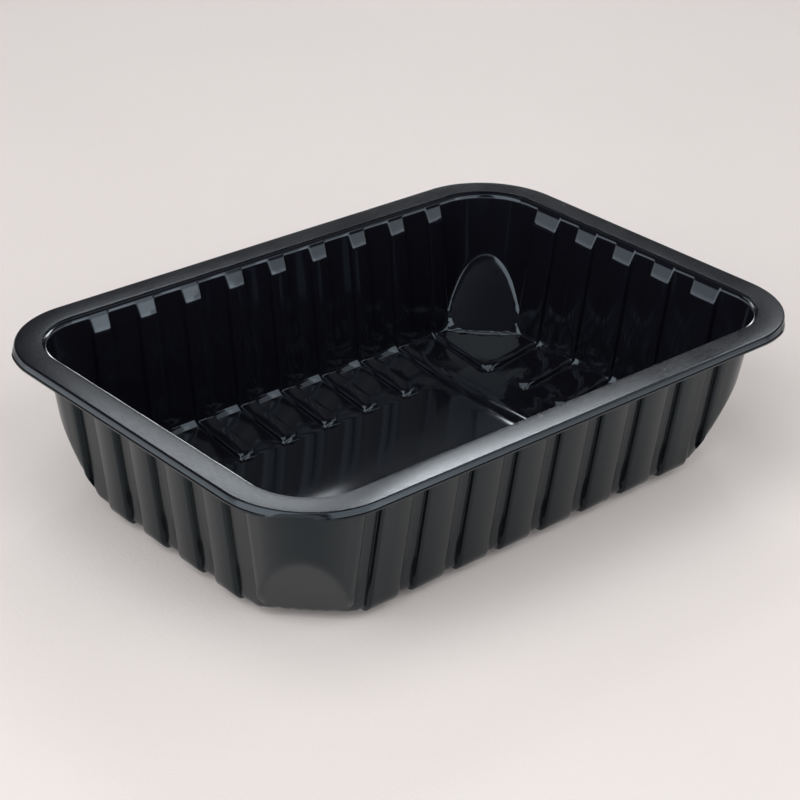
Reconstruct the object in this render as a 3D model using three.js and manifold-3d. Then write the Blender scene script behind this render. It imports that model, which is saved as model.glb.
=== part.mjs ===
// Rectangular food tray, thermoformed from one sheet of black plastic.
// Millimetres, +Z up, origin on the table under the middle of the tray, long sides along X.
import * as THREE from 'three';
import { mergeVertices, toCreasedNormals } from 'three/addons/utils/BufferGeometryUtils.js';
import Module from 'manifold-3d';

const wasm = await Module();
wasm.setup();

// Sheet and rim
const sheet = 0.6;
const trayHeight = 53;
const rimLength = 220;
const rimWidth = 155;
const rimRadius = 29.5;
const flangeWidth = 8.5;
const edgeRound = 0.5;
const skirtDepth = 2.3;
const lipWidth = 1.2;
const ledgeWidth = 1.1;
const ledgeDepth = 1.4;

// Walls and base: the walls lean in to a rounded foot, and an apron slopes down to the stand
const wallLean = 0.139;
const cornerRadiusTop = 19.6;
const cornerRadiusFoot = 14.7;
const footHeight = 3.1;
const footRound = 3.2;
const apronWidth = 24.6;
const standRadius = 5;
const cornerSteps = 8;

// Ribs: each one runs down a wall and on across the apron as a raised bar
const ribDepth = 1.2;
const ribFlare = 1.1;
const ribTopSlope = 5.2;
const longPitch = 17.9;
const longRibsEachWay = 4;
const longCrest = 6.2;
const crossBar = 3;
const shortPitch = 18;
const shortCrest = 8;
const shortOuterPlace = 37.2;
const shortOuterCrest = 10.5;

// The flat facet across the foot of each corner, and the raised pad on the apron behind it
const facetReach = 92.9;
const facetLean = 29.5;
const padStartX = 68.5;
const padStartY = 32;
const padRadius = 34;

const halfLength = rimLength / 2;
const halfWidth = rimWidth / 2;
const wallTopInset = flangeWidth + ledgeWidth - sheet / 2;
const wallTopHeight = trayHeight - ledgeDepth;
const apronSlope = footHeight / apronWidth;
const flareShare = Math.tan(Math.atan(1 / ribFlare) / 2);
const creaseAngle = THREE.MathUtils.degToRad(25);
const bendMiddle = 0.29;
const overlap = 1;
const beyond = 4;

const wallInset = (z) => wallTopInset + wallLean * (wallTopHeight - z);
const footInset = wallInset(footHeight);
const standInset = footInset + apronWidth;

function cornerRadius(z) {
  const share = (wallTopHeight - z) / (wallTopHeight - footHeight);
  return cornerRadiusTop + (cornerRadiusFoot - cornerRadiusTop) * share;
}

function solid(geometry) {
  geometry.deleteAttribute('normal');
  geometry.deleteAttribute('uv');
  const merged = mergeVertices(geometry);
  return new wasm.Manifold(new wasm.Mesh({
    numProp: 3,
    vertProperties: new Float32Array(merged.attributes.position.array),
    triVerts: new Uint32Array(merged.index.array),
  }));
}

// A closed solid through rings that have the same number of points, capped at both ends
function loft(rings) {
  const count = rings[0].length;
  const last = (rings.length - 1) * count;
  const index = [];
  for (let start = 0; start < last; start += count) {
    for (let i = 0; i < count; i += 1) {
      const next = (i + 1) % count;
      index.push(start + i, start + next, start + count + next);
      index.push(start + i, start + count + next, start + count + i);
    }
  }
  for (let i = 1; i < count - 1; i += 1) {
    index.push(0, i + 1, i);
    index.push(last, last + i, last + i + 1);
  }
  const geometry = new THREE.BufferGeometry();
  geometry.setAttribute('position', new THREE.Float32BufferAttribute(rings.flat(2), 3));
  geometry.setIndex(index);
  return solid(geometry);
}

// A rounded rectangle, set in from the edge of the flange, at one height
function outline(inset, radius, z) {
  const x = halfLength - inset - radius;
  const y = halfWidth - inset - radius;
  const centres = [[x, y], [-x, y], [-x, -y], [x, -y]];
  return centres.flatMap(([centreX, centreY], quarter) => {
    const points = [];
    for (let step = 0; step <= cornerSteps; step += 1) {
      const angle = (quarter + step / cornerSteps) * Math.PI / 2;
      points.push([centreX + radius * Math.cos(angle), centreY + radius * Math.sin(angle), z]);
    }
    return points;
  });
}

const rimOutline = (inset, z) => outline(inset, rimRadius - inset, z);

// The flange with its skirt and lip, still filled in over the middle
function rim() {
  const lipTop = trayHeight - skirtDepth + sheet;
  const top = loft([
    rimOutline(-lipWidth, trayHeight - skirtDepth),
    rimOutline(-lipWidth, lipTop),
    rimOutline(-edgeRound * bendMiddle, lipTop),
    rimOutline(0, trayHeight - edgeRound),
    rimOutline(edgeRound, trayHeight),
  ]);
  const hollow = loft([
    rimOutline(sheet - edgeRound * bendMiddle, trayHeight - skirtDepth - beyond),
    rimOutline(sheet, trayHeight - sheet - edgeRound),
    rimOutline(sheet + edgeRound, trayHeight - sheet),
  ]);
  return top.subtract(hollow);
}

// The tray's form without ribs: drawn in by 0 it is the outside, by the sheet it is the inside
function plainBody(offset, topRings) {
  const wallFoot = footHeight + footRound;
  const ring = (inset, radius, z) => outline(inset + offset, radius - offset, z);
  return loft([
    ring(standInset, standRadius, offset),
    ring(footInset + footRound, cornerRadiusFoot, footHeight - apronSlope * footRound + offset),
    ring(footInset + footRound * bendMiddle, cornerRadiusFoot, footHeight + footRound * bendMiddle + offset),
    ring(wallInset(wallFoot), cornerRadius(wallFoot), wallFoot + offset),
    ring(wallTopInset, cornerRadiusTop, wallTopHeight - sheet + offset),
    ...topRings,
  ]);
}

// One rib's trough in a wall at +Y: a trapezoid, widest at its mouth, swept down and inwards
function ribTrough(wallHalf, crest, barEnd, offset) {
  const inset = ribDepth + offset;
  const crestHalf = crest / 2 + offset * flareShare;
  const wallY = (z) => wallHalf - wallInset(z) - inset;
  const standY = wallHalf - standInset;
  const apronZ = (y) => Math.max(0, y - standY) * apronSlope + inset;
  const ribTop = wallTopHeight - ribTopSlope;
  const kneeY = wallY(footHeight);
  const kneeZ = apronZ(kneeY);
  const path = [
    [wallY(wallTopHeight) + ribDepth, wallTopHeight, 1, 0],
    [wallY(ribTop), ribTop, 1, 0],
    [wallY(kneeZ + footRound), kneeZ + footRound, 1, 0],
    [kneeY - footRound * bendMiddle, kneeZ + footRound * bendMiddle, Math.SQRT1_2, -Math.SQRT1_2],
    [kneeY - footRound, apronZ(kneeY - footRound), 0, -1],
  ];
  if (barEnd < standY) path.push([standY, inset, 0, -1]);
  path.push([barEnd, apronZ(barEnd), 0, -1]);
  const reach = inset + beyond;
  const mouthHalf = crestHalf + reach * ribFlare;
  return loft(path.map(([y, z, outY, outZ]) => [
    [crestHalf, y, z],
    [-crestHalf, y, z],
    [-mouthHalf, y + outY * reach, z + outZ * reach],
    [mouthHalf, y + outY * reach, z + outZ * reach],
  ]));
}

function ribs(offset) {
  const troughs = [];
  const place = (trough, along, turn) => {
    troughs.push(trough.translate([along, 0, 0]).rotate([0, 0, turn]));
  };
  for (let k = -longRibsEachWay; k <= longRibsEachWay; k += 1) {
    const crossing = Math.abs(k) === crossBar;
    const barEnd = crossing ? -overlap : halfWidth - standInset;
    const trough = ribTrough(halfWidth, longCrest, barEnd, offset);
    [0, 180].forEach((turn) => place(trough, k * longPitch, turn));
  }
  const shortRibs = [
    [-shortOuterPlace, shortOuterCrest],
    [-shortPitch, shortCrest],
    [0, shortCrest],
    [shortPitch, shortCrest],
    [shortOuterPlace, shortOuterCrest],
  ];
  shortRibs.forEach(([along, crest]) => {
    const trough = ribTrough(halfLength, crest, halfLength - standInset, offset);
    [90, 270].forEach((turn) => place(trough, along, turn));
  });
  return troughs;
}

// Slabs that slice the foot of the four corners off along a leaning plane
function cornerFacets(offset) {
  const slabSize = 2 * trayHeight;
  const lean = THREE.MathUtils.degToRad(facetLean);
  return [1, 3, 5, 7].map((eighth) => {
    const slab = new THREE.BoxGeometry(slabSize, slabSize, slabSize);
    slab.translate(slabSize / 2, 0, 0);
    slab.rotateY(lean);
    slab.translate(facetReach - offset / Math.cos(lean), 0, footHeight);
    slab.rotateZ(eighth * Math.PI / 4);
    return solid(slab);
  });
}

// What lies under the raised pads, one in each corner of the apron
function cornerPads(offset) {
  const rise = ribDepth + offset;
  const floor = loft([
    outline(standInset, standRadius, rise),
    outline(footInset - beyond, padRadius, rise + apronSlope * (apronWidth + beyond)),
    outline(footInset - beyond, padRadius, rise + footHeight + beyond),
  ]);
  const block = (signX, signY) => {
    const level = (z) => {
      const flare = (rise - z) * ribFlare + offset * flareShare;
      const nearX = padStartX - flare;
      const nearY = padStartY - flare;
      const corners = [[nearX, nearY], [halfLength, nearY], [halfLength, halfWidth], [nearX, halfWidth]];
      const ring = corners.map(([x, y]) => [x * signX, y * signY, z]);
      return signX * signY > 0 ? ring : ring.reverse();
    };
    return loft([level(-beyond), level(rise + footHeight)]).subtract(floor);
  };
  return [block(1, 1), block(-1, 1), block(-1, -1), block(1, -1)];
}

function formedBody(offset, topRings) {
  const cuts = [...ribs(offset), ...cornerFacets(offset), ...cornerPads(offset)];
  return cuts.reduce((body, cut) => body.subtract(cut), plainBody(offset, topRings));
}

function tray() {
  const outside = formedBody(0, [
    rimOutline(flangeWidth - sheet, trayHeight - ledgeDepth),
    rimOutline(flangeWidth - sheet, trayHeight - sheet / 2),
  ]);
  const inside = formedBody(sheet, [
    rimOutline(flangeWidth + sheet / 3, trayHeight - ledgeDepth + sheet / 3),
    rimOutline(flangeWidth, trayHeight - edgeRound),
    rimOutline(flangeWidth - edgeRound, trayHeight),
    rimOutline(flangeWidth - edgeRound - beyond, trayHeight + beyond),
  ]);
  const mesh = rim().add(outside).subtract(inside).getMesh();
  const geometry = new THREE.BufferGeometry();
  geometry.setAttribute('position', new THREE.Float32BufferAttribute(mesh.vertProperties, 3));
  geometry.setIndex(Array.from(mesh.triVerts));
  const plastic = new THREE.MeshStandardMaterial({ color: 0x17181b, roughness: 0.32, metalness: 0 });
  const piece = new THREE.Mesh(toCreasedNormals(geometry, creaseAngle), plastic);
  piece.name = 'tray';
  return piece;
}

const object = new THREE.Group();
object.add(tray());

export default object;
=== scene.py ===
import math

import bpy
import numpy as np
from mathutils import Matrix, Vector


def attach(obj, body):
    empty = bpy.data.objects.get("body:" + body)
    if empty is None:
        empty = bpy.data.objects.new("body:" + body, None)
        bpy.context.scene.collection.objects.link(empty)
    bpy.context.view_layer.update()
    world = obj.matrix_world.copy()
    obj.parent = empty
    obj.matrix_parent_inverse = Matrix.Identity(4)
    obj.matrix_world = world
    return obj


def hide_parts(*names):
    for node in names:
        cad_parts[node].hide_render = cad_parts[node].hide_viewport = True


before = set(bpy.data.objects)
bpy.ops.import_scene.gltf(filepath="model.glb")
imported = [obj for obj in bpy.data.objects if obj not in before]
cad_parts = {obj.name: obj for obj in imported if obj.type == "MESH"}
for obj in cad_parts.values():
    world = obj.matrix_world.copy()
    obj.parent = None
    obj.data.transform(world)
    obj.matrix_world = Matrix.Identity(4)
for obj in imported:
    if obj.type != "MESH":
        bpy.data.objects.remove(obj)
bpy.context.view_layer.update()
scene = bpy.context.scene
mm = 0.001

# Camera: where the photograph was taken from
cameraView = {
    "azimuth": -42.43,
    "elevation": 27.92,
    "roll": 1.87,
    "distance": 638.7,  # mm
    "target": (-37.0, -37.5, 53.0),
    "lens": 97.5,
    "sensor": 36.0,
    "clipStart": 0.01,
}


def makeCamera(v):
    azimuth, elevation, roll = (math.radians(v[k]) for k in ("azimuth", "elevation", "roll"))
    level = math.cos(elevation)
    back = Vector((math.sin(azimuth) * level, -math.cos(azimuth) * level, math.sin(elevation)))
    side = Vector((math.cos(azimuth), math.sin(azimuth), 0))
    right = math.cos(roll) * side + math.sin(roll) * back.cross(side)
    place = (Vector(v["target"]) + back * v["distance"]) * mm
    columns = (right, back.cross(right), back, place)
    data = bpy.data.cameras.new("camera")
    data.lens = v["lens"]
    data.sensor_width = v["sensor"]
    data.clip_start = v["clipStart"]
    camera = bpy.data.objects.new("camera", data)
    scene.collection.objects.link(camera)
    camera.matrix_world = Matrix([[column[row] for column in columns] for row in range(3)] + [[0, 0, 0, 1]])
    scene.camera = camera


makeCamera(cameraView)
print("camera made")

# The tray: a sheet drawn over its form. All sizes in mm, an inset is counted in from the rim's edge.
tray = {
    "sheet": 0.6,
    "halfLength": 110.0,
    "halfWidth": 77.5,
    "height": 53.0,
    "rimRadius": 29.5,
    "lip": 1.2,
    "lipShort": 0.06,  # the lip's edge is rounded, so its middle ends this much further in
    "skirt": 2.3,
    "skirtTop": (-0.05, 0.02, 0.35),  # the bend at the skirt's top: inset, rise and radius
    "skirtFoot": (-0.5, 0.12, 0.3),  # the bend from the skirt into the lip
    "flange": 8.5,
    "flangeCrown": 0.003,  # drop per square mm from the middle of the flange
    "flangeMargin": 0.7,  # both margins of the flange turn down over this width
    "flangeTurn": 0.03,
    "flangeCorner": 0.08,  # how far the row at its inner edge stands out
    "ledgeWidth": 0.8,
    "ledgeDepth": 0.8,
    "ledgeRound": 0.3,
    "wallTop": 51.6,
    "wallTopRound": 0.1,
    "wallLean": 0.139,
    "cornerTop": 19.6,
    "cornerTopReach": 1.1,  # how far in from the flange the corner has this radius
    "cornerFoot": 14.7,
    "footHeight": 3.1,
    "footRound": 4.0,
    "footReach": 3.2,  # this far in on the apron the corner's radius is less by footShrink
    "footShrink": 0.8,
    "standInset": 40.64,
    "standRadius": 5.0,
    "standSoftness": 1.5,
    "crown": 0.4,
    "apronSlope": 0.126,
    "reliefFade": (5.0, 16.0),  # heights over which the base's relief fades out of the wall
    "tabTop": 51.7,
    "tabBottom": 46.4,
    "tabSoftness": 0.4,
    "facetReach": 92.9,
    "facetLean": 29.5,
    "facetSoftness": 0.6,
}

ribs = {
    "depth": 1.65,
    "flare": 0.3,  # how much wider a rib's side gets over its depth
    "crestRound": 0.4,
    "landRound": 0.6,
    "long": [(17.9 * k, 6.2) for k in range(-4, 5)],  # middle and crest width, along a long wall
    "short": [(-37.2, 10.5), (-18.0, 8.0), (0.0, 8.0), (18.0, 8.0), (37.2, 10.5)],
    "crossing": 53.7,  # the bars here run right across the base
    "longBarEnd": 36.1,
    "shortBarEnd": 68.9,
    "barEndRadius": 1.5,
    "padX": 68.5,
    "padY": 32.0,
    "padRadius": 3.0,
}

# Where the mesh has its points
mesh = {
    "innerX": 78.0,  # the rectangle inside which it is a plain grid
    "innerY": 45.5,
    "sideLines": (-0.334, -0.1, 0.06, 0.21, 0.42, 0.80),  # lines over a rib's side, from the crest's edge
    "padLinesX": (67.36, 67.78, 68.1, 68.35, 68.6, 68.85, 69.2),
    "padLinesY": (34.96, 35.39, 35.67, 35.9, 36.05, 36.4, 38.2, 39.4, 40.8),
    "closest": 0.09,
    "widest": 9.0,
    "cornerColumns": 32,
    "apronShares": (0.12, 0.24, 0.36, 0.48, 0.59, 0.69, 0.78, 0.86, 0.93, 1),  # rows out to the wall's foot
    "footSteps": 6,
    "facetHeights": (7.4, 21.5, 1.6),  # rows of the wall: from, up to and step, over the corner facets
    "arcHeights": (21.8, 31.5, 1.15),  # and over the arcs that they end in
    "topHeights": (35, 40, 45.4, 46.1, 46.8, 48, 49.4, 50.6),
    "footGap": 0.5,
    "flangeShares": (0.93, 0.85, 0.76, 0.4, 0, -0.4, -0.76, -0.85),  # rows across the flange, from its middle
    "mergeDistance": 0.02,
    "smoothAngle": 55,
}
footRow = len(mesh["apronShares"])
wallRow = footRow + mesh["footSteps"]
gridInset = tray["halfLength"] - mesh["innerX"]
endless = -1000.0  # the end of a bar that has none


def ease(low, high, value):
    share = np.clip((value - low) / (high - low), 0, 1)
    return share * share * (3 - 2 * share)


def softPositive(value, softness):
    bend = (value + softness) ** 2 / (4 * softness)
    return np.where(value > softness, value, np.where(value < -softness, 0, bend))


def roundedPath(corners):
    # corners: inset, height, radius and steps of each bend, joined by straight lines
    path = []
    for i, (inset, z, radius, steps) in enumerate(corners):
        here = np.array([inset, z])
        if not radius:
            path.append(here)
            continue
        before = np.array(corners[i - 1][:2]) - here
        after = np.array(corners[i + 1][:2]) - here
        before /= np.linalg.norm(before)
        after /= np.linalg.norm(after)
        turn = math.acos(np.clip(before @ after, -1, 1))
        cut = radius / math.tan(turn / 2)
        centre = here + (before + after) / np.linalg.norm(before + after) * radius / math.sin(turn / 2)
        start, end = here + before * cut - centre, here + after * cut - centre
        angle = math.atan2(start[0] * end[1] - start[1] * end[0], start @ end)
        for step in range(steps + 1):
            c, s = math.cos(angle * step / steps), math.sin(angle * step / steps)
            path.append(centre + np.array([start[0] * c - start[1] * s, start[0] * s + start[1] * c]))
    return path


# a rib's side: steep, tight at its crest and rounded at the land beside it
ribSide = np.array(roundedPath([
    (-3.0, 0.0, 0, 0),
    (0.0, 0.0, ribs["crestRound"], 6),
    (ribs["flare"], ribs["depth"], ribs["landRound"], 12),
    (5.0, ribs["depth"], 0, 0),
]))


def crestShare(outside):
    # 1 on a rib's crest, 0 beside it, by the distance out from the crest's edge
    return 1 - np.interp(outside, ribSide[:, 0], ribSide[:, 1]) / ribs["depth"]


def barShare(across, along, halfCrest, end):
    # the same for a bar on the base: across is measured from its middle line, along towards the wall
    radius = ribs["barEndRadius"]
    outX = np.abs(across) - halfCrest + radius
    outY = end - along + radius
    outside = np.hypot(np.maximum(outX, 0), np.maximum(outY, 0)) + np.minimum(np.maximum(outX, outY), 0) - radius
    return crestShare(outside)


def baseRelief(x, y):
    r = ribs
    nearX, nearY = np.abs(x), np.abs(y)
    relief = crestShare(-np.minimum(nearX - r["padX"], nearY - r["padY"]))
    cornerX, cornerY = r["padX"] + r["padRadius"], r["padY"] + r["padRadius"]
    cut = np.hypot(np.maximum(cornerX - nearX, 0), np.maximum(cornerY - nearY, 0)) - r["padRadius"]
    relief = np.minimum(relief, crestShare(cut))
    for place, crest in r["long"]:
        end = endless if abs(abs(place) - r["crossing"]) < 1 else r["longBarEnd"]
        relief = np.maximum(relief, barShare(x - place, nearY, crest / 2, end))
    for place, crest in r["short"]:
        relief = np.maximum(relief, barShare(y - place, nearX, crest / 2, r["shortBarEnd"]))
    return relief


def baseHeight(x, y):
    standX, standY = tray["halfLength"] - tray["standInset"], tray["halfWidth"] - tray["standInset"]
    coreX, coreY = standX - tray["standRadius"], standY - tray["standRadius"]
    nearX, nearY = np.abs(x), np.abs(y)
    outside = np.hypot(np.maximum(nearX - coreX, 0), np.maximum(nearY - coreY, 0)) - tray["standRadius"]
    apron = tray["apronSlope"] * softPositive(outside, tray["standSoftness"])
    bulgeX = np.clip(nearX / standX, 0, 1)
    bulgeY = np.clip(nearY / standY, 0, 1)
    crown = tray["crown"] * (1 - bulgeX ** 2) ** 2 * (1 - bulgeY ** 2) ** 2
    return tray["sheet"] / 2 + apron + crown + ribs["depth"] * baseRelief(x, y)


def linesAcross(places, limit, extra):
    # grid lines across a wall: close together over the sides of its ribs
    lines = {-limit, limit}
    for place, crest in places:
        offsets = [crest / 2 + line for line in mesh["sideLines"]]
        lines.update(place + sign * offset for offset in offsets for sign in (-1, 1))
        lines.add(place)
    lines.update(sign * line for line in extra for sign in (-1, 1))
    found = sorted(lines)
    kept = [found[0]]
    for line in found[1:]:
        if line - kept[-1] > mesh["closest"]:
            kept.append(line)
    kept[-1] = limit
    filled = [kept[0]]
    for before, line in zip(kept, kept[1:]):
        parts = max(1, math.ceil((line - before) / mesh["widest"]))
        filled.extend(before + (line - before) * (i + 1) / parts for i in range(parts))
    half = [line for line in filled if line > mesh["closest"] / 2]
    return np.array([-line for line in reversed(half)] + [0] + half)


def wallInset(z):
    return tray["flange"] + tray["ledgeWidth"] + tray["sheet"] / 2 + tray["wallLean"] * (tray["wallTop"] - z)


def apronLevel(inset):
    return tray["apronSlope"] * (tray["standInset"] - inset) + tray["sheet"] / 2


def flangeLevel(inset):
    t = tray
    half, middle = t["sheet"] / 2, t["flange"] / 2
    out = abs(inset - middle)
    margin = max(out - (middle - half - t["flangeMargin"]), 0) / t["flangeMargin"]
    return t["height"] - half - t["flangeCrown"] * out ** 2 - t["flangeTurn"] * t["flangeMargin"] * margin ** 2 / 2


def sheetProfile():
    # rows of the sheet from the grid on the base out to the lip: inset and height
    t, m = tray, mesh
    half, middle = t["sheet"] / 2, t["flange"] / 2
    lowZ, highZ = 20, 40  # two heights on the straight wall
    footZ = t["footHeight"] + half
    for _ in range(20):
        footZ = apronLevel(wallInset(footZ))
    foot = roundedPath([
        (gridInset, apronLevel(gridInset), 0, 0),
        (wallInset(footZ), footZ, t["footRound"], m["footSteps"]),
        (wallInset(lowZ), lowZ, 0, 0),
    ])
    rows = [foot[0]]
    rows += [foot[0] + (foot[1] - foot[0]) * share for share in m["apronShares"]]
    rows += foot[2:-1]
    heights = [*np.arange(*m["facetHeights"]), *np.arange(*m["arcHeights"]), *m["topHeights"]]
    rows += [np.array([wallInset(z), z]) for z in heights if z > foot[-2][1] + m["footGap"]]

    ledgeZ = t["height"] - t["ledgeDepth"] - half
    topZ = ledgeZ - t["wallTopRound"]
    edge = t["flange"] - half
    ledge = roundedPath([
        (wallInset(highZ), highZ, 0, 0),
        (wallInset(topZ), topZ, t["wallTopRound"], 1),
        (edge, ledgeZ, t["ledgeRound"], 2),
        (edge, flangeLevel(edge), 0, 0),
    ])
    # the corner's row stands out a little, so that the sheet's thickness squares it off
    rows += ledge[1:-1] + [np.array([edge, flangeLevel(edge)]) + t["flangeCorner"]]
    insets = [middle + share * (middle - half) for share in m["flangeShares"]]
    rows += [np.array([inset, flangeLevel(inset)]) for inset in insets]

    lipZ = t["height"] - t["skirt"] + half
    (topInset, topRise, topRound), (footInset, footRise, footRound) = t["skirtTop"], t["skirtFoot"]
    rows += roundedPath([
        (1.0, flangeLevel(1.0), 0, 0),
        (half + topInset, flangeLevel(half) + topRise, topRound, 3),
        (footInset, lipZ + footRise, footRound, 2),
        (-t["lip"] + t["lipShort"], lipZ, 0, 0),
    ])[1:]
    return np.array(rows)


def planRadius(inset):
    # the corner's radius in plan, row by row
    t = tray
    footInset = t["flange"] + t["ledgeWidth"] + t["wallLean"] * (t["wallTop"] - t["footHeight"])
    known = [
        (-t["lip"], t["rimRadius"] + t["lip"]),
        (t["flange"], t["rimRadius"] - t["flange"]),
        (t["flange"] + t["cornerTopReach"], t["cornerTop"]),
        (footInset, t["cornerFoot"]),
        (footInset + t["footReach"], t["cornerFoot"] - t["footShrink"]),
        (gridInset, 0),
    ]
    return np.interp(inset, *zip(*known))


def cornerCurve(reach, radius, share):
    # a corner of the ring in plan: out along one axis, round, and back along the other
    straight = np.maximum(reach - radius, 0)
    length = 2 * straight + radius * math.pi / 2
    gone = share * length
    angle = np.clip((gone - straight) / np.maximum(radius, 1e-6), 0, math.pi / 2)
    before = np.minimum(gone, straight)
    after = np.clip(gone - straight - radius * math.pi / 2, 0, None)
    x = straight + radius * np.cos(angle) - after
    y = before + radius * np.sin(angle)
    return x, y


def sheetForm(rows, anchorX, anchorY, signX, signY, share):
    # places of the wall's points: rows down the side, columns round the tray
    t = tray
    inset, z = rows[:, 0][:, None], rows[:, 1][:, None]
    index = np.arange(len(rows))[:, None]
    radius = planRadius(inset)
    tab = np.clip(1 - softPositive(z - t["tabBottom"], t["tabSoftness"]) / (t["tabTop"] - t["tabBottom"]), 0, 1)
    tab = np.where(inset > t["flange"], tab, 0)
    inward = np.where(index > wallRow, 1, ease(0, footRow, index))
    upward = np.where(index > wallRow, 1 - ease(*t["reliefFade"], z), 1)
    slide = np.clip((index - footRow) / (wallRow - footRow), 0, 1) * t["wallLean"]
    ribMask = np.zeros_like(anchorX)
    for wallRibs, anchor, wallShare in ((ribs["long"], anchorX, 1), (ribs["short"], anchorY, 0)):
        for place, crest in wallRibs:
            mask = crestShare(np.abs(anchor - place) - crest / 2)
            ribMask = np.maximum(ribMask, np.where(share == wallShare, mask, 0))
    # the tab at a rib's top is a plane that cuts its sides off
    ribMask = np.where(index > wallRow, np.minimum(ribMask, tab), ribMask)

    def plan(extra):
        x, y = cornerCurve(gridInset - inset - extra, radius, share)
        return anchorX + signX * x, anchorY + signY * y

    drawIn = inward * ribs["depth"] * ribMask
    x, y = plan(drawIn)
    lift = np.where(upward > 0, upward * (baseHeight(x, y) - apronLevel(inset)), 0)
    x, y = plan(drawIn - slide * lift)
    return x, y, np.where(index <= footRow, baseHeight(x, y), z + lift)


def sliceCorners(x, y, z):
    # the flat facet across the foot of each corner, with a rounded edge all the way round
    lean = math.radians(tray["facetLean"])
    reach = tray["facetReach"] - tray["sheet"] / 2 / math.cos(lean)
    out = (np.abs(x) + np.abs(y)) / math.sqrt(2) - reach
    beyond = out * math.cos(lean) - (z - tray["footHeight"]) * math.sin(lean)
    pull = softPositive(beyond, tray["facetSoftness"])
    across = pull * math.cos(lean) / math.sqrt(2)
    return x - np.sign(x) * across, y - np.sign(y) * across, z + pull * math.sin(lean)


def runLength(a, b):
    return np.concatenate([[0], np.cumsum(np.hypot(np.diff(a), np.diff(b)))])


def addGrid(name, x, y, z, u, v):
    # a grid primitive with its points set in place; u and v follow the sheet, for its fine grain
    bpy.ops.object.select_all(action="DESELECT")
    down, around = x.shape
    bpy.ops.mesh.primitive_grid_add(x_subdivisions=around - 1, y_subdivisions=down - 1, size=1)
    grid = bpy.context.object
    grid.name = name
    points = np.stack([x, y, z], axis=-1).reshape(-1, 3) * mm
    grid.data.vertices.foreach_set("co", points.astype(np.float32).ravel())
    corners = np.zeros(len(grid.data.loops), np.int32)
    grid.data.loops.foreach_get("vertex_index", corners)
    along = np.stack([(u + 0 * x).reshape(-1)[corners], (v + 0 * x).reshape(-1)[corners]], axis=-1) * mm
    grid.data.uv_layers[0].data.foreach_set("uv", along.astype(np.float32).ravel())
    grid.data.update()
    return grid


def ringColumns(linesX, linesY):
    # columns of one quarter: up the short wall, round the corner, back along the long wall
    m = mesh
    halfX = linesX[linesX >= 0][::-1]
    halfY = linesY[linesY >= 0]
    turn = np.arange(1, m["cornerColumns"]) / m["cornerColumns"]
    anchorX = np.concatenate([np.full(len(halfY) + len(turn), m["innerX"]), halfX])
    anchorY = np.concatenate([halfY, np.full(len(turn) + len(halfX), m["innerY"])])
    share = np.concatenate([np.zeros(len(halfY)), turn, np.ones(len(halfX))])
    quarters = []
    for signX, signY in ((1, 1), (-1, 1), (-1, -1), (1, -1)):
        step = 1 if signX * signY > 0 else -1
        signs = np.full(len(share), signX), np.full(len(share), signY)
        quarter = np.stack([anchorX * signX, anchorY * signY, *signs, share])[:, ::step]
        quarters.append(quarter[:, :-1])
    return np.concatenate(quarters + [quarters[0][:, :1]], axis=1)


def makeTray():
    linesX = linesAcross(ribs["long"], mesh["innerX"], mesh["padLinesX"])
    linesY = linesAcross(ribs["short"], mesh["innerY"], mesh["padLinesY"])
    rows = sheetProfile()
    x, y, z = sliceCorners(*sheetForm(rows, *ringColumns(linesX, linesY)))
    rim = int(np.argmin(abs(rows[:, 0] - tray["flange"] / 2)))
    wall = addGrid("tray_sheet", x, y, z, runLength(x[rim], y[rim])[None, :], runLength(*rows.T)[:, None])
    baseX, baseY = np.meshgrid(linesX, linesY)
    baseX, baseY, baseZ = sliceCorners(baseX, baseY, baseHeight(baseX, baseY))
    base = addGrid("tray_base", baseX, baseY, baseZ, baseX, baseY)
    print("grids", x.shape, baseX.shape)

    bpy.ops.object.select_all(action="DESELECT")
    base.select_set(True)
    wall.select_set(True)
    bpy.context.view_layer.objects.active = wall
    bpy.ops.object.join()
    bpy.ops.object.mode_set(mode="EDIT")
    bpy.ops.mesh.select_all(action="SELECT")
    bpy.ops.mesh.remove_doubles(threshold=mesh["mergeDistance"] * mm)
    bpy.ops.mesh.normals_make_consistent(inside=False)
    bpy.ops.object.mode_set(mode="OBJECT")
    middleFace = min(wall.data.polygons, key=lambda face: face.center.length)
    if middleFace.normal.z < 0:
        wall.data.flip_normals()
    return wall


def thicken(sheet):
    solidify = sheet.modifiers.new("thickness", "SOLIDIFY")
    solidify.thickness = tray["sheet"] * mm
    solidify.offset = 0
    solidify.material_offset = 1
    solidify.material_offset_rim = 1
    bpy.ops.object.select_all(action="DESELECT")
    sheet.select_set(True)
    bpy.context.view_layer.objects.active = sheet
    bpy.ops.object.modifier_apply(modifier=solidify.name)
    bpy.ops.object.shade_smooth_by_angle(angle=math.radians(mesh["smoothAngle"]))


def markRim(sheet, insideSlot, rimSlot):
    # the flange's top and the outside of its skirt have a finish of their own
    flangeLow = (tray["height"] - tray["sheet"]) * mm
    skirtLow = (tray["height"] - tray["skirt"]) * mm
    for face in sheet.data.polygons:
        onTop = face.center.z > flangeLow and face.normal.z > 0.8
        outwards = face.normal.x * face.center.x + face.normal.y * face.center.y > 0
        onSkirt = face.material_index == insideSlot and face.center.z > skirtLow and outwards
        if onTop or onSkirt:
            face.material_index = rimSlot


def makeNodes(material):
    material.use_nodes = True
    nodes, links = material.node_tree.nodes, material.node_tree.links
    nodes.clear()
    out = nodes.new("ShaderNodeOutputMaterial")
    shader = nodes.new("ShaderNodeBsdfPrincipled")
    links.new(shader.outputs[0], out.inputs["Surface"])
    return nodes, links, shader


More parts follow.
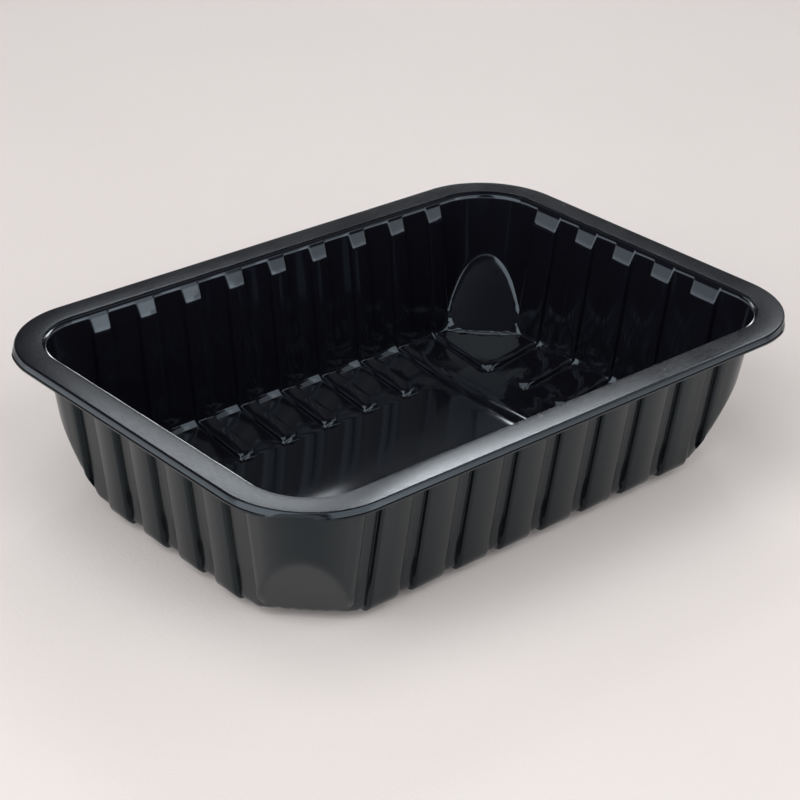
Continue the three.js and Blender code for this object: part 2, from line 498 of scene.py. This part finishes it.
# Plastic: one formed sheet, glossy where it lay free, hazed on the rim, satin where it met the mould
insideLook = {
    "color": (0.0040, 0.0040, 0.0062),
    "tint": (0.73, 0.89, 1.0),
    "ior": 1.52,
    "rough": 0.095,
    "haze": 0.03,  # how much the roughness varies
    "wave": 0.0018,  # mm, depth of the slow waves in the sheet
    "waveSize": 9.0,
    "grain": 0.00025,
    "grainSize": 0.5,
    "streak": 0.0,
    "specks": 0.06,
}
flangeLook = dict(
    insideLook,
    rough=0.18,
    haze=0.06,
    wave=0.0004,
    waveSize=7.0,
    grain=0.0012,
    grainSize=0.32,
    streak=0.12,
    specks=0.10,
)
outsideLook = dict(
    insideLook,
    color=(0.0030, 0.0034, 0.0040),
    tint=(0.62, 0.77, 0.85),
    ior=1.48,
    rough=0.2,
    haze=0.06,
    wave=0.004,
    waveSize=13.0,
    grain=0.0014,
    grainSize=0.4,
    specks=0.03,
)
grainInputs = {
    "Wave": "wave",
    "Wave Size": "waveSize",
    "Grain": "grain",
    "Grain Size": "grainSize",
    "Haze": "haze",
    "Rough": "rough",
    "Streak": "streak",
    "Specks": "specks",
}
grainForm = {
    "cloudScale": 70,
    "streakScale": 2600,
    "streakLength": 0.12,  # how much slower it changes along the streak
    "streakTurn": 24,
    "streakDepth": 0.014,
    "grainHaze": 0.6,
    "speckScale": 190,
    "speckRadius": 0.045,
    "speckTone": 0.6,
    "speckColor": (0.09, 0.09, 0.10),
}


def sheetGrainGroup(f):
    # what every side of the sheet shares: slow waves, fine grain, streaks along the rim and stray specks
    group = bpy.data.node_groups.new("sheetGrain", "ShaderNodeTree")
    face = group.interface
    for name in grainInputs:
        face.new_socket(name, in_out="INPUT", socket_type="NodeSocketFloat")
    face.new_socket("Color", in_out="INPUT", socket_type="NodeSocketColor")
    face.new_socket("Height", in_out="OUTPUT", socket_type="NodeSocketFloat")
    face.new_socket("Roughness", in_out="OUTPUT", socket_type="NodeSocketFloat")
    face.new_socket("Color", in_out="OUTPUT", socket_type="NodeSocketColor")
    nodes, links = group.nodes, group.links
    given = nodes.new("NodeGroupInput").outputs
    made = nodes.new("NodeGroupOutput").inputs
    place = nodes.new("ShaderNodeTexCoord").outputs

    def feed(socket, value):
        if isinstance(value, (int, float)):
            socket.default_value = value
        else:
            links.new(value, socket)

    def calc(kind, *values):
        node = nodes.new("ShaderNodeMath")
        node.operation = kind
        for socket, value in zip(node.inputs, values):
            feed(socket, value)
        return node.outputs[0]

    def noise(vector, scale, detail):
        node = nodes.new("ShaderNodeTexNoise")
        node.inputs["Detail"].default_value = detail
        links.new(vector, node.inputs["Vector"])
        feed(node.inputs["Scale"], scale)
        return node.outputs["Fac"]

    wave = noise(place["Object"], calc("DIVIDE", 1000, given["Wave Size"]), 1.0)
    grain = noise(place["Object"], calc("DIVIDE", 1000, given["Grain Size"]), 2.0)
    cloud = noise(place["Object"], f["cloudScale"], 3.0)
    stretch = nodes.new("ShaderNodeMapping")
    stretch.inputs["Rotation"].default_value = (0, 0, math.radians(f["streakTurn"]))
    stretch.inputs["Scale"].default_value = (f["streakLength"], 1, 1)
    links.new(place["UV"], stretch.inputs["Vector"])
    streak = noise(stretch.outputs[0], f["streakScale"], 2.0)
    dots = nodes.new("ShaderNodeTexVoronoi")
    dots.inputs["Scale"].default_value = f["speckScale"]
    links.new(place["Object"], dots.inputs["Vector"])
    speck = calc("MULTIPLY", calc("LESS_THAN", dots.outputs["Distance"], f["speckRadius"]), given["Specks"])

    height = calc("MULTIPLY", wave, given["Wave"])
    height = calc("MULTIPLY_ADD", grain, given["Grain"], height)
    height = calc("MULTIPLY_ADD", streak, calc("MULTIPLY", given["Streak"], f["streakDepth"]), height)
    links.new(calc("MULTIPLY", height, mm), made["Height"])
    rough = calc("MULTIPLY_ADD", calc("SUBTRACT", cloud, 0.5), given["Haze"], given["Rough"])
    rough = calc("MULTIPLY_ADD", calc("SUBTRACT", streak, 0.5), given["Streak"], rough)
    grainHaze = calc("MULTIPLY", given["Haze"], f["grainHaze"])
    rough = calc("MULTIPLY_ADD", calc("SUBTRACT", grain, 0.5), grainHaze, rough)
    links.new(calc("ADD", rough, speck), made["Roughness"])
    pale = nodes.new("ShaderNodeMix")
    pale.data_type = "RGBA"
    links.new(calc("MULTIPLY", speck, f["speckTone"]), pale.inputs["Factor"])
    links.new(given["Color"], pale.inputs["A"])
    pale.inputs["B"].default_value = (*f["speckColor"], 1)
    links.new(pale.outputs["Result"], made["Color"])
    return group


sheetGrain = sheetGrainGroup(grainForm)


def plasticMaterial(name, look):
    material = bpy.data.materials.new(name)
    nodes, links, shader = makeNodes(material)
    grain = nodes.new("ShaderNodeGroup")
    grain.node_tree = sheetGrain
    for socket, key in grainInputs.items():
        grain.inputs[socket].default_value = look[key]
    grain.inputs["Color"].default_value = (*look["color"], 1)
    bump = nodes.new("ShaderNodeBump")
    bump.inputs["Distance"].default_value = 1.0
    links.new(grain.outputs["Height"], bump.inputs["Height"])
    links.new(bump.outputs["Normal"], shader.inputs["Normal"])
    links.new(grain.outputs["Color"], shader.inputs["Base Color"])
    links.new(grain.outputs["Roughness"], shader.inputs["Roughness"])
    shader.inputs["IOR"].default_value = look["ior"]
    shader.inputs["Specular Tint"].default_value = (*look["tint"], 1)
    return material


sheet = makeTray()
for name, look in (("tray_inside", insideLook), ("tray_outside", outsideLook), ("tray_flange", flangeLook)):
    sheet.data.materials.append(plasticMaterial(name, look))
thicken(sheet)
markRim(sheet, insideSlot=0, rimSlot=2)
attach(sheet, "root")
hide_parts("tray")
print("tray made", sum(len(p.vertices) - 2 for p in sheet.data.polygons), "triangles")

# The floor and the light
studio = {
    "floorSize": 8.0,
    "floorColor": (0.79, 0.74, 0.72),
    "floorTones": (0.97, 1.01),  # the darkest and the palest patches of the card
    "floorRough": 0.72,
    "fibreScale": 900,
    "fibreShare": 0.5,
    "fibreDepth": 0.00006,
    "cloudScale": 9,
    "horizon": (1.30, 1.28, 1.28),  # brightness of the room near the horizon and above
    "above": (0.035, 0.033, 0.037),
    "fadeFrom": 0.10,  # heights of the fade between them, as sines
    "fadeTo": 0.30,
    # name, azimuth from +Y towards +X, elevation, distance, width, height in m, and brightness
    "panels": [
        ("overhead", -60, 80, 1.6, 1.0, 1.0, 1.6),
        ("left", -95, 35, 1.6, 1.8, 1.5, 2.8),
        ("leftLow", -51, 13.5, 1.6, 0.9, 0.42, 1.2),
        ("right", 172, 34, 1.6, 1.6, 1.5, 2.0),
        ("rightLow", 143, 13.5, 1.6, 0.8, 0.42, 1.2),
        ("side", 112, 46, 1.5, 1.1, 0.6, 0.9),
        ("windowLeft", 33.5, 34, 1.6, 0.28, 0.17, 4.2),
        ("window", 48.5, 36.5, 1.6, 0.28, 0.2, 10.5),
        ("windowRight", 62, 31, 1.6, 0.2, 0.2, 3.5),
        ("windowLow", 43, 7, 1.6, 0.4, 0.3, 4.0),
    ],
}


def makeFloor(s):
    bpy.ops.object.select_all(action="DESELECT")
    bpy.ops.mesh.primitive_plane_add(size=s["floorSize"], location=(0, 0, 0))
    floor = bpy.context.object
    floor.name = "floor"
    material = bpy.data.materials.new("floor_card")
    nodes, links, shader = makeNodes(material)
    place = nodes.new("ShaderNodeTexCoord")
    fibre = nodes.new("ShaderNodeTexNoise")
    fibre.inputs["Scale"].default_value = s["fibreScale"]
    fibre.inputs["Detail"].default_value = 3
    links.new(place.outputs["Object"], fibre.inputs["Vector"])
    cloud = nodes.new("ShaderNodeTexNoise")
    cloud.inputs["Scale"].default_value = s["cloudScale"]
    cloud.inputs["Detail"].default_value = 2
    links.new(place.outputs["Object"], cloud.inputs["Vector"])
    both = nodes.new("ShaderNodeMath")
    both.operation = "MULTIPLY_ADD"
    links.new(fibre.outputs["Fac"], both.inputs[0])
    both.inputs[1].default_value = s["fibreShare"]
    links.new(cloud.outputs["Fac"], both.inputs[2])
    tone = nodes.new("ShaderNodeMix")
    tone.data_type = "RGBA"
    links.new(both.outputs[0], tone.inputs["Factor"])
    for socket, factor in zip("AB", s["floorTones"]):
        tone.inputs[socket].default_value = (*(c * factor for c in s["floorColor"]), 1)
    links.new(tone.outputs["Result"], shader.inputs["Base Color"])
    shader.inputs["Roughness"].default_value = s["floorRough"]
    bump = nodes.new("ShaderNodeBump")
    bump.inputs["Distance"].default_value = s["fibreDepth"]
    links.new(fibre.outputs["Fac"], bump.inputs["Height"])
    links.new(bump.outputs["Normal"], shader.inputs["Normal"])
    floor.data.materials.append(material)


def areaLight(name, azimuth, elevation, distance, width, height, brightness):
    # a panel that faces the tray
    a, e = math.radians(azimuth), math.radians(elevation)
    towards = Vector((math.sin(a) * math.cos(e), math.cos(a) * math.cos(e), math.sin(e)))
    data = bpy.data.lights.new(name, "AREA")
    data.shape = "RECTANGLE"
    data.size, data.size_y = width, height
    data.energy = brightness * math.pi * width * height
    lamp = bpy.data.objects.new(name, data)
    scene.collection.objects.link(lamp)
    lamp.location = towards * distance
    lamp.rotation_euler = towards.to_track_quat("Z", "Y").to_euler()


def makeRoom(s):
    # a pale sweep all round, dark above it
    world = bpy.data.worlds.new("studio")
    scene.world = world
    world.use_nodes = True
    nodes, links = world.node_tree.nodes, world.node_tree.links
    sky = nodes["Background"]
    place = nodes.new("ShaderNodeTexCoord")
    split = nodes.new("ShaderNodeSeparateXYZ")
    links.new(place.outputs["Generated"], split.inputs[0])
    fade = nodes.new("ShaderNodeMapRange")
    fade.interpolation_type = "SMOOTHSTEP"
    fade.inputs["From Min"].default_value = s["fadeFrom"]
    fade.inputs["From Max"].default_value = s["fadeTo"]
    links.new(split.outputs["Z"], fade.inputs["Value"])
    tone = nodes.new("ShaderNodeMix")
    tone.data_type = "RGBA"
    links.new(fade.outputs[0], tone.inputs["Factor"])
    tone.inputs["A"].default_value = (*s["horizon"], 1)
    tone.inputs["B"].default_value = (*s["above"], 1)
    links.new(tone.outputs["Result"], sky.inputs["Color"])


makeFloor(studio)
makeRoom(studio)
for panel in studio["panels"]:
    areaLight(*panel)
scene.view_settings.view_transform = "Standard"
print("studio made")
